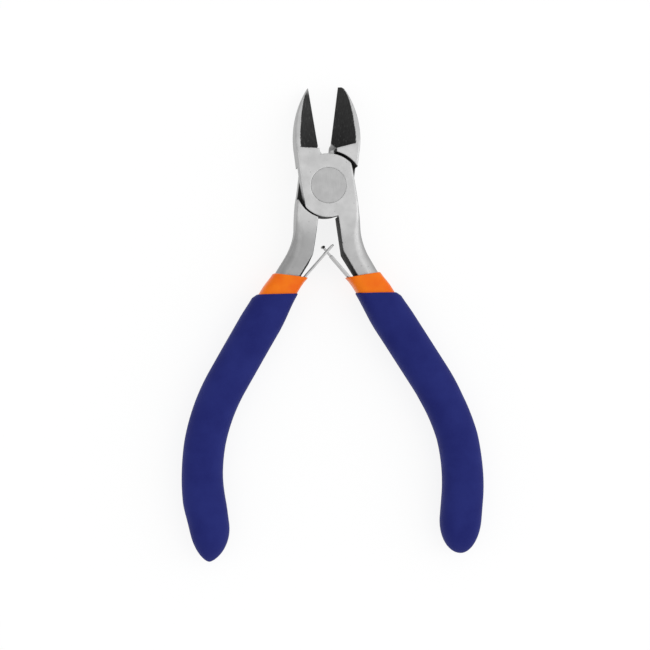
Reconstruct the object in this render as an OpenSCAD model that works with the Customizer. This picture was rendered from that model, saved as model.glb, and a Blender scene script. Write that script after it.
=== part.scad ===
// Mini diagonal cutting pliers with a lap joint, interlocking leaf springs and dipped handles.
// They lie flat with the jaws toward +Y, held open by the springs. Units are millimetres.
// The origin is on the pivot axis at the rear face of the joint, and +Z points out of the front face.
// Each half is drawn with the pliers closed, jaw on the left and handle on the right, then swung open.

/* [Joint] */
// Angle between the two halves when the springs hold them open
opening_angle = 17; // [12:0.5:18]
// Thickness of the joint, front face to rear face
joint_thickness = 9.6; // [9.2:0.1:10.4]
// Radius of the round hub plates
hub_radius = 7.75; // [7.4:0.05:7.9]
// Half the distance across the hub's flat sides
hub_half_width = 6.5; // [6:0.1:6.8]
// Radius of the shoulder that a jaw keeps clear of the other half's plate
jaw_shoulder_radius = 8.4; // [8.1:0.1:8.8]
// Radius of the shoulder that a tang keeps clear of the other half's plate
tang_shoulder_radius = 8.1; // [8:0.1:8.6]
// Gap between the two hub plates
plate_gap = 0.1; // [0.05:0.05:0.2]
// Diameter of the rivet's flush heads
rivet_head_d = 8.6; // [7.5:0.1:9.4]
// Thickness of each rivet head
rivet_head_h = 1.8; // [1.2:0.1:2.6]
// Diameter of the rivet's shank
rivet_shank_d = 5; // [4:0.1:6]
// Radial clearance between the rivet and the halves
running_fit = 0.04; // [0.02:0.01:0.08]

/* [Jaws] */
// Distance from the pivot to the jaw tips
jaw_reach = 25; // [24:0.1:25.4]
// Half the width across the closed jaws
jaw_half_width = 6.4; // [6.2:0.1:6.8]
// Height above the pivot where the jaws are widest
jaw_widest_y = 9.6; // [9:0.1:10.4]
// Radius of the jaws' curved outer sides
jaw_side_radius = 22.5; // [21:0.1:23]
// Distance from the pivot to the start of the cutting edges
edge_start = 9.3; // [9.1:0.1:10]
// Height of the cutting edges above the rear face
edge_height = 1.2; // [0.8:0.1:2]
// Half the gap left between the closed cutting edges
edge_gap = 0.05; // [0.03:0.01:0.1]
// Half width of the ground bevels at the front face
bevel_half_width = 5.3; // [4.8:0.1:5.8]
// Width of the small bevel behind each cutting edge
rear_bevel_width = 1.8; // [1:0.1:2.5]
// Distance from the pivot to the start of the nose taper
nose_start = 10.6; // [10:0.1:13]
// Thickness left at the jaw tips
tip_thickness = 2.8; // [2.4:0.1:4]
// Width of the blunt end of each jaw
tip_width = 0.5; // [0.4:0.1:1]

/* [Tangs] */
// Width of the tangs in the plane of the pliers
tang_width = 5; // [4.6:0.1:5.2]
// Half the gap between the closed tangs below the hub
tang_half_gap = 1.3; // [1.2:0.1:1.5]
// Distance from the pivot to the start of the tangs' outward bend
bend_start = 12; // [11:0.5:13]
// Radius of that bend on the tang's centre line
bend_radius = 20; // [18:0.5:22]
// Angle of the handles' straight part from the closed centre line
handle_angle = 23; // [21:0.5:24]
// Length of the straight part
straight_length = 33; // [30:0.2:34]
// Radius of the handles' bow
bow_radius = 49; // [45:1:55]
// Angle by which the handle ends turn back inward
tail_angle = 14; // [10:0.5:18]
// How far short of the bow's end each tang stops
tang_end_gap = 1.3; // [1:0.1:4]
// Thickness of the tangs where they enter the collars
tang_mouth_thickness = 7; // [6.6:0.1:7.2]
// Thickness of the tangs under the grips
tang_thickness = 6; // [5.5:0.1:6.5]

/* [Collars and grips] */
// Distance from the pivot to the mouth of the collars, with the handles closed
collar_mouth_y = 22.8; // [22:0.1:23.5]
// Thickness of the collar's wall on the outside of the tang
collar_wall = 0.85; // [0.7:0.05:0.95]
// Thickness of the collars, front to rear
collar_thickness = 8.4; // [8.2:0.1:8.6]
// How far the collar's inner side stands off the tang's milled face, over the spring's foot
collar_standoff = 2.2; // [2.1:0.05:2.4]
// How much further it stands off at its mouth, around the leaf
mouth_flare = 0.5; // [0.4:0.05:0.7]
// Distance from the pivot to the top of the grips, with the pliers open
grip_top_y = 26.2; // [25.8:0.1:27]
// Thickness of the grip over the collar on its outer side, at the top and further down
grip_wall_top = 0.5; // [0.4:0.05:0.7]
grip_wall = 1.1; // [0.9:0.05:1.4]
// Extra thickness of the grip on its inner side, at the top and further down
grip_pad_top = 0.3; // [0.25:0.05:0.5]
grip_pad = 1; // [0.7:0.05:1.3]
// Length of the tapering end of the grips past the tangs
grip_end_length = 13.8; // [12:0.2:15]

/* [Springs] */
// Thickness of the spring strip
leaf_thickness = 0.45; // [0.35:0.05:0.5]
// Width of the spring strip
leaf_width = 4.6; // [4:0.1:5]
// Distance down the tang's milled face to the strip's bend
leaf_bend_distance = 14.4; // [14:0.1:15]
// Length of a leaf from its bend to where the leaves cross
leaf_reach = 16.85; // [16.7:0.05:17.1]
// Length of a leaf past the crossing
leaf_overrun = 1.5; // [1.3:0.1:1.7]
// Width of the tongue on the right leaf
tongue_width = 1.5; // [1.2:0.1:1.7]
// Clearance around the tongue in the left leaf's slot
slot_clearance = 0.2; // [0.15:0.05:0.3]
// Length of the slot on each side of the crossing
slot_half_length = 1; // [0.9:0.05:1.05]
// Width of the head that keeps the tongue in the slot
tongue_head_width = 3.4; // [3:0.1:3.8]
// Length of the foot that holds each leaf to its tang
foot_length = 5.6; // [5:0.1:6]
// Diameter of the rivet that holds the foot
foot_rivet_d = 1.6; // [1.2:0.1:2]

/* [Hidden] */
$fn = 64;

half_opening = opening_angle / 2;
mid_z = joint_thickness / 2;
beyond = 40; // longer than anything that it cuts across
eps = 0.01;

// Directions along a handle that leans outward by angle a, and square to it toward the outside
function along(a) = [sin(a), -cos(a)];
function outward(a) = [cos(a), sin(a)];
function arc(centre, radius, from, to, steps) =
    [for (i = [0 : steps]) centre + radius * outward(from + (to - from) * i / steps)];
function turned(p, a) = [p[0] * cos(a) - p[1] * sin(a), p[0] * sin(a) + p[1] * cos(a)];

// Centre line of the tang: down from the hub, a bend, a straight and the bow
tang_centre_x = tang_half_gap + tang_width / 2;
bend_centre = [tang_centre_x + bend_radius, -bend_start];
bend_end = bend_centre - bend_radius * outward(handle_angle);
bow_start = bend_end + straight_length * along(handle_angle);
bow_centre = bow_start - bow_radius * outward(handle_angle);
bow_end = bow_centre + bow_radius * outward(-tail_angle);
bow_length = bow_radius * (handle_angle + tail_angle) * PI / 180;

// The same line by distance from the start of the bow, negative toward the hub
function path_angle(s) =
    s < 0 ? handle_angle : max(-tail_angle, handle_angle - s / bow_radius * 180 / PI);
function path_point(s) =
    s < 0 ? bow_start + s * along(handle_angle) :
    s < bow_length ? bow_centre + bow_radius * outward(path_angle(s)) :
    bow_end + (s - bow_length) * along(-tail_angle);

// The milled inner face of the tang starts at a corner below the hub
face_point = bend_end - tang_width / 2 * outward(handle_angle);
face_corner = face_point - (face_point[0] - tang_half_gap) / sin(handle_angle) * along(handle_angle);
leaf_bend = face_corner + leaf_bend_distance * along(handle_angle)
    - leaf_thickness / 2 * outward(handle_angle);

// Each leaf reaches from its bend to the line of symmetry; the angle is measured on the open pliers
leaf_angle = asin(turned(leaf_bend, half_opening)[0] / leaf_reach) - half_opening;
leaf_splay = leaf_angle - handle_angle;
shoulder_before_crossing = 1.3;
tongue_shoulder = leaf_reach - shoulder_before_crossing;
tongue_head_r = 0.35;
hinge_gap = 0.08;
foot_gap = leaf_thickness / 2 + hinge_gap;
foot_rivet_y = foot_gap + foot_length / 2;
foot_rivet_head_d = 1.75 * foot_rivet_d;
foot_rivet_head_h = 0.55;
foot_rivet_depth = 3;
pocket_clearance = 0.15;
tang_clearance = 0.1;
grip_taper = 5; // run over which the tangs thin down to their thickness under the grips
tang_taper_start = hub_radius + 0.5; // where they start to thin toward the collars

// ---- steel halves ----

// One jaw in plan, from inside the hub to the tip; the cutting edge faces +X
module jaw_outline() {
    side_centre = [jaw_side_radius - jaw_half_width, jaw_widest_y];
    tip_angle = acos((side_centre[0] + tip_width) / jaw_side_radius);
    relief = 0.45;
    polygon(concat(
        [[-relief, 0], [-relief, edge_start], [-edge_gap, edge_start], [-edge_gap, jaw_reach],
         [-tip_width, jaw_reach]],
        arc(side_centre, jaw_side_radius, 180 - tip_angle, 180, 14),
        [[-hub_half_width, 0.5 * jaw_widest_y], [-hub_half_width, 0]]));
}

// Everything in front of the bevel plane, which runs down to the cutting edge
module front_bevel_cut() {
    height = joint_thickness - edge_height;
    excess = 1.2;
    groove_end_slope = 0.3;
    intersection() {
        translate([0, beyond, 0]) rotate([90, 0, 0]) linear_extrude(beyond)
            polygon([[1, edge_height], [-edge_gap, edge_height],
                     [-edge_gap - excess * bevel_half_width, edge_height + excess * height],
                     [1, edge_height + excess * height]]);
        linear_extrude(beyond)
            polygon([[1, edge_start], [-edge_gap, edge_start],
                     [-10, edge_start + 10 * groove_end_slope], [-10, beyond], [1, beyond]]);
    }
}

module rear_bevel_cut() {
    translate([0, beyond, 0]) rotate([90, 0, 0]) linear_extrude(beyond - edge_start)
        polygon([[1, edge_height], [-edge_gap, edge_height],
                 [-edge_gap - rear_bevel_width, 0], [-edge_gap - rear_bevel_width, -1], [1, -1]]);
}

// The front face slopes down from the hub to a thin nose
module nose_cut() {
    drop = joint_thickness - tip_thickness;
    run = jaw_reach - nose_start;
    rotate([90, 0, 90]) translate([0, 0, -beyond / 2]) linear_extrude(beyond)
        polygon([[nose_start, joint_thickness], [nose_start + 2 * run, joint_thickness - 2 * drop],
                 [nose_start + 2 * run, 2 * joint_thickness], [nose_start, 2 * joint_thickness]]);
}

module jaw() {
    difference() {
        linear_extrude(joint_thickness) jaw_outline();
        front_bevel_cut();
        rear_bevel_cut();
        nose_cut();
    }
}

module tang_outline() {
    half = tang_width / 2;
    end_angle = path_angle(bow_length - tang_end_gap);
    polygon(concat(
        [[tang_centre_x - half, 0], [tang_centre_x + half, 0]],
        arc(bend_centre, half - bend_radius, 0, handle_angle, 8),
        arc(bow_centre, bow_radius + half, handle_angle, end_angle, 16),
        arc(bow_centre, bow_radius - half, end_angle, handle_angle, 16),
        [face_corner]));
}

// Side view of the tang, which thins toward the collar and again under the grip
module tang_side() {
    function z_pair(y, thickness) = [[y, mid_z + thickness / 2], [y, mid_z - thickness / 2]];
    hub = z_pair(-tang_taper_start, joint_thickness);
    mouth = z_pair(-collar_mouth_y, tang_mouth_thickness);
    grip = z_pair(-collar_mouth_y - grip_taper, tang_thickness);
    polygon([[0, joint_thickness], hub[0], mouth[0], grip[0], [-3 * beyond, grip[0][1]],
             [-3 * beyond, grip[1][1]], grip[1], mouth[1], hub[1], [0, 0]]);
}

module tang() {
    intersection() {
        linear_extrude(joint_thickness) tang_outline();
        rotate([90, 0, 90]) linear_extrude(beyond) tang_side();
    }
}

// Clears the other half's plate: a wider arc under the jaw than above the tang
module shoulder_cut() {
    height = mid_z + plate_gap / 2;
    cylinder(r = tang_shoulder_radius, h = height);
    intersection() {
        cylinder(r = jaw_shoulder_radius, h = height);
        translate([-beyond / 2, 0, 0]) cube([beyond, beyond, height]);
    }
}

module hub_plate() {
    intersection() {
        cylinder(r = hub_radius, h = mid_z - plate_gap / 2);
        translate([-hub_half_width, -hub_radius, 0]) cube([2 * hub_half_width, 2 * hub_radius, mid_z]);
    }
}

module rivet_hole(head_z) {
    translate([0, 0, -1]) cylinder(d = rivet_shank_d + 2 * running_fit, h = joint_thickness + 2);
    translate([0, 0, head_z]) cylinder(d = rivet_head_d + 2 * running_fit, h = rivet_head_h + 1);
}

module foot_rivet_hole() {
    at_foot_rivet() cylinder(d = foot_rivet_d, h = foot_rivet_depth + 0.1);
}

// plate_z is where this half's hub plate starts, and cut_z where the other half's plate starts
module steel_half(plate_z, cut_z, head_z) {
    color("silver")
    difference() {
        union() {
            difference() {
                union() {
                    jaw();
                    tang();
                }
                translate([0, 0, cut_z]) shoulder_cut();
            }
            translate([0, 0, plate_z]) hub_plate();
        }
        rivet_hole(head_z);
        foot_rivet_hole();
    }
}

// ---- places ----

// The half with the right handle swings one way from the closed position, the other half the other
module right_side() {
    rotate([0, 0, half_opening]) children();
}

module left_side() {
    mirror([1, 0, 0]) right_side() children();
}

// The bend of the spring strip, with +Y down the tang's face and +X into the tang
module at_leaf_bend() {
    translate([leaf_bend[0], leaf_bend[1], mid_z]) rotate([0, 0, handle_angle]) mirror([0, 1, 0]) children();
}

// The foot rivet's axis, +Z into the tang from its face
module at_foot_rivet() {
    at_leaf_bend() translate([leaf_thickness / 2, foot_rivet_y, 0]) rotate([0, 90, 0]) children();
}

// ---- springs ----

module spring_foot() {
    color("gainsboro")
    difference() {
        at_leaf_bend() translate([-leaf_thickness / 2, foot_gap, -leaf_width / 2])
            cube([leaf_thickness, foot_length, leaf_width]);
        at_foot_rivet() translate([0, 0, -1]) cylinder(d = foot_rivet_d, h = 2);
    }
}

module spring_rivet() {
    color("gray")
    at_foot_rivet() {
        translate([0, 0, -leaf_thickness]) cylinder(d = foot_rivet_d, h = leaf_thickness + foot_rivet_depth);
        translate([0, 0, -leaf_thickness - foot_rivet_head_h])
            cylinder(d = foot_rivet_head_d, h = foot_rivet_head_h);
    }
}

module strip(length, width) {
    translate([-leaf_thickness / 2, 0, -width / 2]) cube([leaf_thickness, length, width]);
}

module at_leaf() {
    translate([leaf_bend[0], leaf_bend[1], mid_z]) rotate([0, 0, leaf_angle]) children();
}

// The right leaf narrows to a tongue with a rolled head across its end
module tongue_leaf() {
    at_leaf() {
        cylinder(d = leaf_thickness, h = leaf_width, center = true);
        strip(tongue_shoulder, leaf_width);
        strip(leaf_reach + leaf_overrun, tongue_width);
        translate([0, leaf_reach + leaf_overrun, 0])
            cylinder(r = tongue_head_r, h = tongue_head_width, center = true);
    }
}

// The left leaf has a closed slot that the tongue passes through
module slotted_leaf() {
    at_leaf() {
        cylinder(d = leaf_thickness, h = leaf_width, center = true);
        difference() {
            strip(leaf_reach + leaf_overrun, leaf_width);
            translate([0, leaf_reach, 0])
                cube([1, 2 * slot_half_length, tongue_width + 2 * slot_clearance], center = true);
        }
    }
}

// ---- sleeves ----

// Each sleeve is a stack of rings along the handle. A ring's inner and outer edges are distances from the
// tang's centre line, negative toward the other handle. Near the mouth the rings tilt, because the collar's
// mouth is level with the handles closed and the grip's top is level with the pliers open.
mouth_s = (collar_mouth_y + bend_end[1]) / cos(handle_angle) - straight_length;
grip_s = (grip_top_y + turned(bend_end, half_opening)[1]) / cos(handle_angle + half_opening) - straight_length;
untilted_s = grip_s + 10;
face_x = tang_width / 2;
ring_steps = 5;

function tilt_at(s) =
    lookup(s, [[mouth_s, handle_angle], [grip_s, handle_angle + half_opening], [untilted_s, 0]]);

// Distance along the handle at which a tilted ring meets its inner edge
function inner_s(s) = s - (face_x + collar_standoff) * tan(tilt_at(s));

function ring(s, inner, outer, thickness, corner) =
    let (tilt = tilt_at(s), axis = outward(path_angle(s) - tilt) / cos(tilt), centre = path_point(s),
         x = (outer - inner) / 2 - corner, z = thickness / 2 - corner, middle = (inner + outer) / 2,
         outline = concat(arc([x, z], corner, 0, 90, ring_steps),
                          arc([-x, z], corner, 90, 180, ring_steps),
                          arc([-x, -z], corner, 180, 270, ring_steps),
                          arc([x, -z], corner, 270, 360, ring_steps)))
    [for (p = outline) let (q = centre + (middle + p[0]) * axis) [q[0], q[1], mid_z + p[1]]];

// Joins a list of rings into one closed solid
module loft(rings) {
    count = len(rings[0]);
    last = (len(rings) - 1) * count;
    polyhedron(
        points = [for (r = rings) for (p = r) p],
        faces = concat(
            [[for (i = [0 : count - 1]) i]],
            [for (k = [0 : len(rings) - 2]) for (i = [0 : count - 1])
                let (j = (i + 1) % count, a = k * count, b = a + count)
                each [[a + i, b + i, a + j], [a + j, b + i, b + j]]],
            [[for (i = [count - 1 : -1 : 0]) last + i]]));
}

function reversed(list) = [for (i = [len(list) - 1 : -1 : 0]) list[i]];
function bow_stations(from, to, steps) = [for (i = [0 : steps]) from + (to - from) * i / steps];
mouth_stations = [for (d = [0, 0.7, 1.6, 3, 4.2]) mouth_s + d];
shared_stations = [for (d = [0, 2.5, 5, 7.5, 10]) grip_s + d];

// How far a collar's inner side is from the tang's centre line, flared at its mouth
function collar_inner(s) =
    let (lip_s = inner_s(mouth_s))
    -face_x - lookup(inner_s(s), [[lip_s, collar_standoff + mouth_flare], [lip_s + 1.5, collar_standoff + 0.12],
                                  [lip_s + 3, collar_standoff]]);

// Outer surface of a collar
collar_corner = 1.8;
function collar_ring(s, grow) =
    ring(s, collar_inner(s) - grow, face_x + collar_wall + grow, collar_thickness + 2 * grow, collar_corner);

// The space inside a collar: the tang, and beside it the spring's foot and the moving leaf
foot_end_s = face_s(leaf_bend_distance + foot_gap + foot_length);
function face_s(distance) = distance - norm(face_point - face_corner) - straight_length;
function leaf_side(s) =
    leaf_thickness + pocket_clearance + (face_s(leaf_bend_distance) - inner_s(s)) * tan(leaf_splay);
function pocket_depth(s) =
    let (foot_depth = leaf_thickness + foot_rivet_head_h + pocket_clearance)
    s > foot_end_s + 1 ? tang_clearance : s > foot_end_s ? foot_depth : max(foot_depth, leaf_side(s));
function tang_thickness_at(s) =
    lookup(-path_point(s)[1], [[tang_taper_start, joint_thickness], [collar_mouth_y, tang_mouth_thickness],
                               [collar_mouth_y + grip_taper, tang_thickness]]);
function cavity_ring(s) =
    ring(s, -face_x - pocket_depth(s), face_x + tang_clearance, tang_thickness_at(inner_s(s)) + 0.3, 0.2);

module collar() {
    cavity_end = bow_length - tang_end_gap + tang_clearance;
    stations = concat(mouth_stations, shared_stations);
    color("darkorange")
        loft(concat(
            [for (s = bow_stations(cavity_end, 0, 14)) cavity_ring(s)],
            [cavity_ring(foot_end_s + 1.01), cavity_ring(foot_end_s)],
            [for (s = reversed(stations)) if (s < foot_end_s) cavity_ring(s)],
            [for (s = stations) collar_ring(s, 0)],
            [for (s = bow_stations(0, bow_length, 14)) collar_ring(s, 0)]));
}

// Outer surface of a grip; scale draws it in toward the end
function grip_ring(s, scale, inset) =
    let (run = [grip_s, untilted_s - 1],
         wall = lookup(s, [[run[0], grip_wall_top], [run[1], grip_wall]]) - inset,
         pad = lookup(s, [[run[0], grip_pad_top], [run[1], grip_pad]]) - inset,
         front = lookup(s, [[run[0], 0.35], [run[1], (joint_thickness - collar_thickness) / 2]]) - inset,
         inner = collar_inner(s) - pad, outer = face_x + collar_wall + wall,
         thickness = collar_thickness + 2 * front)
    ring(s, scale * inner, scale * outer, scale * thickness, scale * lookup(s, [[run[0], 2.2], [run[1], 3.5]]));

module grip() {
    gap = 0.03;
    end_start = 5;
    end_run = grip_end_length - end_start;
    color("darkslateblue")
        loft(concat(
            [for (s = bow_stations(bow_length + gap, 0, 14)) collar_ring(s, gap)],
            [for (s = reversed(shared_stations)) collar_ring(s, gap)],
            [grip_ring(grip_s, 1, 0.2), grip_ring(grip_s + 0.4, 1, 0)],
            [for (s = shared_stations) if (s > grip_s) grip_ring(s, 1, 0)],
            [for (s = bow_stations(0, bow_length, 14)) grip_ring(s, 1, 0)],
            [for (t = [0, 20, 40, 55, 68, 78, 85])
                grip_ring(bow_length + end_start + end_run * sin(t), cos(t), 0)]));
}

// ---- sub-parts ----

module front_half() {
    right_side() steel_half(mid_z + plate_gap / 2, -eps, joint_thickness - rivet_head_h);
}

module rear_half() {
    left_side() steel_half(0, mid_z - plate_gap / 2, -1);
}

module pivot_rivet() {
    color("darkgray") {
        cylinder(d = rivet_head_d, h = rivet_head_h);
        cylinder(d = rivet_shank_d, h = joint_thickness);
        translate([0, 0, joint_thickness - rivet_head_h]) cylinder(d = rivet_head_d, h = rivet_head_h);
    }
}

module left_spring_foot() { left_side() spring_foot(); }
module right_spring_foot() { right_side() spring_foot(); }
module left_spring_rivet() { left_side() spring_rivet(); }
module right_spring_rivet() { right_side() spring_rivet(); }
module left_spring_leaf() { color("gainsboro") left_side() slotted_leaf(); }
module right_spring_leaf() { color("gainsboro") right_side() tongue_leaf(); }
module left_collar() { left_side() collar(); }
module right_collar() { right_side() collar(); }
module left_grip() { left_side() grip(); }
module right_grip() { right_side() grip(); }

front_half();
rear_half();
pivot_rivet();
left_spring_foot();
left_spring_leaf();
left_spring_rivet();
right_spring_foot();
right_spring_leaf();
right_spring_rivet();
left_collar();
left_grip();
right_collar();
right_grip();
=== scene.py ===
"""Looks of the mini diagonal cutting pliers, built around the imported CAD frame.

Lengths in the builders are millimetres in the row frame and become metres in mesh_object. Each half of the
pliers is worked out closed, with its jaw on the left and its handle on the right, then mirrored if it is the
other half, and swung open.
"""
import math

import bpy
import numpy as np
import openvdb
from mathutils import Matrix, Vector

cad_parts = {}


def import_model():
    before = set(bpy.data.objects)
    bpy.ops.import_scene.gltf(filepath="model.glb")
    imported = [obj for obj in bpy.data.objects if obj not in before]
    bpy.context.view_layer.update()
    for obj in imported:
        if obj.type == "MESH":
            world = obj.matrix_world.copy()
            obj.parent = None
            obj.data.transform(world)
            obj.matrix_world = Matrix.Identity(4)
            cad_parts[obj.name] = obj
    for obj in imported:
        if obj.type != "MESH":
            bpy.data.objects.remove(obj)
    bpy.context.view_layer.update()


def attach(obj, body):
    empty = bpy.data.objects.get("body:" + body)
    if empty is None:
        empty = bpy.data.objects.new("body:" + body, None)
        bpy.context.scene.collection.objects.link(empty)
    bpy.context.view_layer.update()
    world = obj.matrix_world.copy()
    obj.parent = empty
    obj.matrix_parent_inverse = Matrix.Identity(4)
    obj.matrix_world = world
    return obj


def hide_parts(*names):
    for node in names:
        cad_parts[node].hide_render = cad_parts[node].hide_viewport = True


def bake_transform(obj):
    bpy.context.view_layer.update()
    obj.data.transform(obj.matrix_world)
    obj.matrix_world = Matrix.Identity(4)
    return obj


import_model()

MM = 0.001

# ---- driving dimensions: the CAD's, apart from some that differ ----

HALF_OPENING = 8.5
THICKNESS = 9.6
MID_Z = THICKNESS / 2
PLATE_GAP = 0.1
HUB_RADIUS = 7.75
HUB_HALF_WIDTH = 6.5
JAW_SHOULDER = 8.4
TANG_SHOULDER = 8.0
RIVET_HEAD_R = 4.3
RIVET_HEAD_H = 1.8
RIVET_SHANK_R = 2.5
RUNNING_FIT = 0.04
HEAD_OVERLAP = 0.05  # the head is drawn this much wider than its counterbore, so its rim shows as a line

JAW_REACH = 25.0
EDGE_START = 10.4
EDGE_HEIGHT = 1.2
EDGE_X = 0.035  # meshing rounds the sharp edge back, and drawn here it ends 0.03 short of the closed line
BEVEL_HALF_WIDTH = 5.2
REAR_BEVEL_WIDTH = 1.8

# Width of the plain face left outside the ground bevel, as (y, width) pairs
BAND = [(8.6, 0.9), (10.6, 1.15), (16, 1.3), (19.7, 0.95), (21.5, 0.65), (23, 0.38), (25, 0.15)]

TANG_WIDTH = 5.0
TANG_HALF_GAP = 1.3
BEND_START = 12.0
BEND_RADIUS = 20.0
HANDLE_ANGLE = 23.0
STRAIGHT_LENGTH = 33.0
BOW_RADIUS = 49.0
TAIL_ANGLE = 14.0
TANG_END_GAP = 1.3
TANG_MOUTH_THICKNESS = 7.0
TANG_THICKNESS = 6.0

COLLAR_MOUTH_Y = 22.8
COLLAR_WALL = 0.85
COLLAR_THICKNESS = 8.4
COLLAR_STANDOFF = 2.05
MOUTH_FLARE = 0.35
GRIP_TOP_Y = 26.2
GRIP_END_LENGTH = 13.65

LEAF_THICKNESS = 0.45
LEAF_WIDTH = 4.6
LEAF_BEND_DISTANCE = 14.4
LEAF_REACH = 16.85
LEAF_OVERRUN = 1.5
FOOT_LENGTH = 5.6
FOOT_RIVET_R = 0.8
FOOT_RIVET_DEPTH = 3.0
BEND_ROOM = 0.3  # between the foot and the line of the bend
SLOTTED_EXTRA = 0.5  # how much longer than the CAD's the slotted leaf is
TONGUE_CUT = 0.1  # how much shorter than the CAD's the tongued leaf is
SLOT_HALF_WIDTH = 0.95
SLOT_HALF_LENGTH = 1.0
TONGUE_HALF_WIDTH = 0.75
SHOULDER_DISTANCE = 1.3  # from the crossing back to the tongue's shoulders


class Hand:
    """Hand-ground differences between the two halves, in the closed frame.

    The jaw's outer side is half_width away as far as widest_y, and then curves in on side_radius. The
    groove is a line through two points, where the ground bevel ends. The throat is the inner outline below
    the cutting edge. Drafts are in degrees. Above the collar the milled face stands milled_offset proud of
    the drawn one. The lean moves the half sideways, as (y, distance) pairs.
    """

    def __init__(self, widest_y, half_width, side_radius, reach, tip_round, hub_side, groove, throat,
                 side_draft, milled_draft, milled_offset, lean):
        self.widest_y, self.half_width, self.side_radius = widest_y, half_width, side_radius
        self.reach, self.tip_round, self.hub_side = reach, tip_round, hub_side
        self.groove, self.throat, self.lean = groove, throat, lean
        self.side_draft, self.milled_draft = math.radians(side_draft), math.radians(milled_draft)
        self.milled_offset = milled_offset

    def width_at(self, y):
        """Distance of the jaw's outer side from the closed line."""
        rise = np.clip(y - self.widest_y, 0, self.side_radius)
        return self.half_width - self.side_radius + np.sqrt(self.side_radius ** 2 - rise ** 2)


FRONT = Hand(
    widest_y=9.0, half_width=6.2, side_radius=23.9, reach=24.95, tip_round=0.05, hub_side=6.5,
    groove=((-5.0, 10.3), (-0.3, 9.14)),
    throat=[(-0.39, 7.85), (-0.66, 8.3), (-0.8, 9.0), (-0.35, 9.5), (-0.25, 10.0)],
    side_draft=1.1, milled_draft=2.2, milled_offset=0.1,
    lean=[(-92, -0.27), (-78, -0.15), (-66, -0.1), (-56, -0.58), (-44, -0.6), (-30, -0.65), (-22, -0.55),
          (-14, -0.3), (-8, -0.1), (-3, 0)])
REAR = Hand(
    widest_y=9.5, half_width=6.48, side_radius=25.4, reach=25.0, tip_round=0.6, hub_side=6.85,
    groove=((-5.2, 11.05), (-0.7, 9.2)),
    throat=[(-0.95, 8.6), (-0.75, 9.4), (-0.5, 10.1)],
    side_draft=0.0, milled_draft=6.0, milled_offset=0.65,
    lean=[(-92, -0.47), (-80, -0.34), (-66, 0.19), (-44, 0.5), (-30, 0.6), (-22, 0.5), (-14, 0.2),
          (-8, 0.2), (-3, 0)])


# ---- the handle's centre line, by distance from the start of its bow ----

def along(angle):
    return np.array([math.sin(math.radians(angle)), -math.cos(math.radians(angle))])


def outward(angle):
    return np.array([math.cos(math.radians(angle)), math.sin(math.radians(angle))])


def arc(centre, radius, start, end, steps):
    return [centre + radius * outward(start + (end - start) * i / steps) for i in range(steps + 1)]


def turned(point, angle):
    c, s = outward(angle)
    return np.array([point[0] * c - point[1] * s, point[0] * s + point[1] * c])


BEND_CENTRE = np.array([TANG_HALF_GAP + TANG_WIDTH / 2 + BEND_RADIUS, -BEND_START])
BEND_END = BEND_CENTRE - BEND_RADIUS * outward(HANDLE_ANGLE)
BOW_START = BEND_END + STRAIGHT_LENGTH * along(HANDLE_ANGLE)
BOW_CENTRE = BOW_START - BOW_RADIUS * outward(HANDLE_ANGLE)
BOW_END = BOW_CENTRE + BOW_RADIUS * outward(-TAIL_ANGLE)
BOW_LENGTH = BOW_RADIUS * math.radians(HANDLE_ANGLE + TAIL_ANGLE)
FACE_POINT = BEND_END - TANG_WIDTH / 2 * outward(HANDLE_ANGLE)
FACE_CORNER = FACE_POINT - (FACE_POINT[0] - TANG_HALF_GAP) / along(HANDLE_ANGLE)[0] * along(HANDLE_ANGLE)
LEAF_BEND = (FACE_CORNER + LEAF_BEND_DISTANCE * along(HANDLE_ANGLE)
             - LEAF_THICKNESS / 2 * outward(HANDLE_ANGLE))
LEAF_ANGLE = math.degrees(math.asin(turned(LEAF_BEND, HALF_OPENING)[0] / LEAF_REACH)) - HALF_OPENING
LEAF_BEND_S = LEAF_BEND_DISTANCE - np.linalg.norm(FACE_POINT - FACE_CORNER) - STRAIGHT_LENGTH


def path_angle(s):
    if s < 0:
        return HANDLE_ANGLE
    return max(-TAIL_ANGLE, HANDLE_ANGLE - math.degrees(s / BOW_RADIUS))


def path_point(s):
    if s < 0:
        return BOW_START + s * along(HANDLE_ANGLE)
    if s < BOW_LENGTH:
        return BOW_CENTRE + BOW_RADIUS * outward(path_angle(s))
    return BOW_END + (s - BOW_LENGTH) * along(-TAIL_ANGLE)


def eased(x, table):
    """Value at x from (place, value) pairs, with a smooth step between neighbours."""
    places, values = zip(*table)
    if x <= places[0]:
        return values[0]
    for (a, low), (b, high) in zip(table, table[1:]):
        if x <= b:
            t = (x - a) / (b - a)
            return low + (high - low) * t * t * (3 - 2 * t)
    return values[-1]


def table_at(places, table):
    """Values at those places from (place, value) pairs, on straight lines between neighbours."""
    return np.interp(places, *zip(*table))


# ---- meshes ----

def place_half(points, left):
    """Closed-frame points of the right-hand side, swung open, and mirrored for the left."""
    points = np.array(points, float)
    points[:, 0] += table_at(points[:, 1], (REAR if left else FRONT).lean)
    c, s = outward(HALF_OPENING)
    x, y = points[:, 0] * c - points[:, 1] * s, points[:, 0] * s + points[:, 1] * c
    points[:, 0], points[:, 1] = (-x if left else x), y
    return points


def mesh_object(name, points, faces, body, replaces, material, flip=False):
    mesh = bpy.data.meshes.new(name)
    if flip:
        faces = [tuple(reversed(f)) for f in faces]
    mesh.from_pydata([tuple(p) for p in np.asarray(points) * MM], [], [tuple(f) for f in faces])
    mesh.validate()
    mesh.polygons.foreach_set("use_smooth", [True] * len(mesh.polygons))
    mesh.materials.append(material)
    obj = bpy.data.objects.new(name, mesh)
    bpy.context.scene.collection.objects.link(obj)
    if body:
        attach(obj, body)
    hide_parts(*replaces)
    return obj


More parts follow.
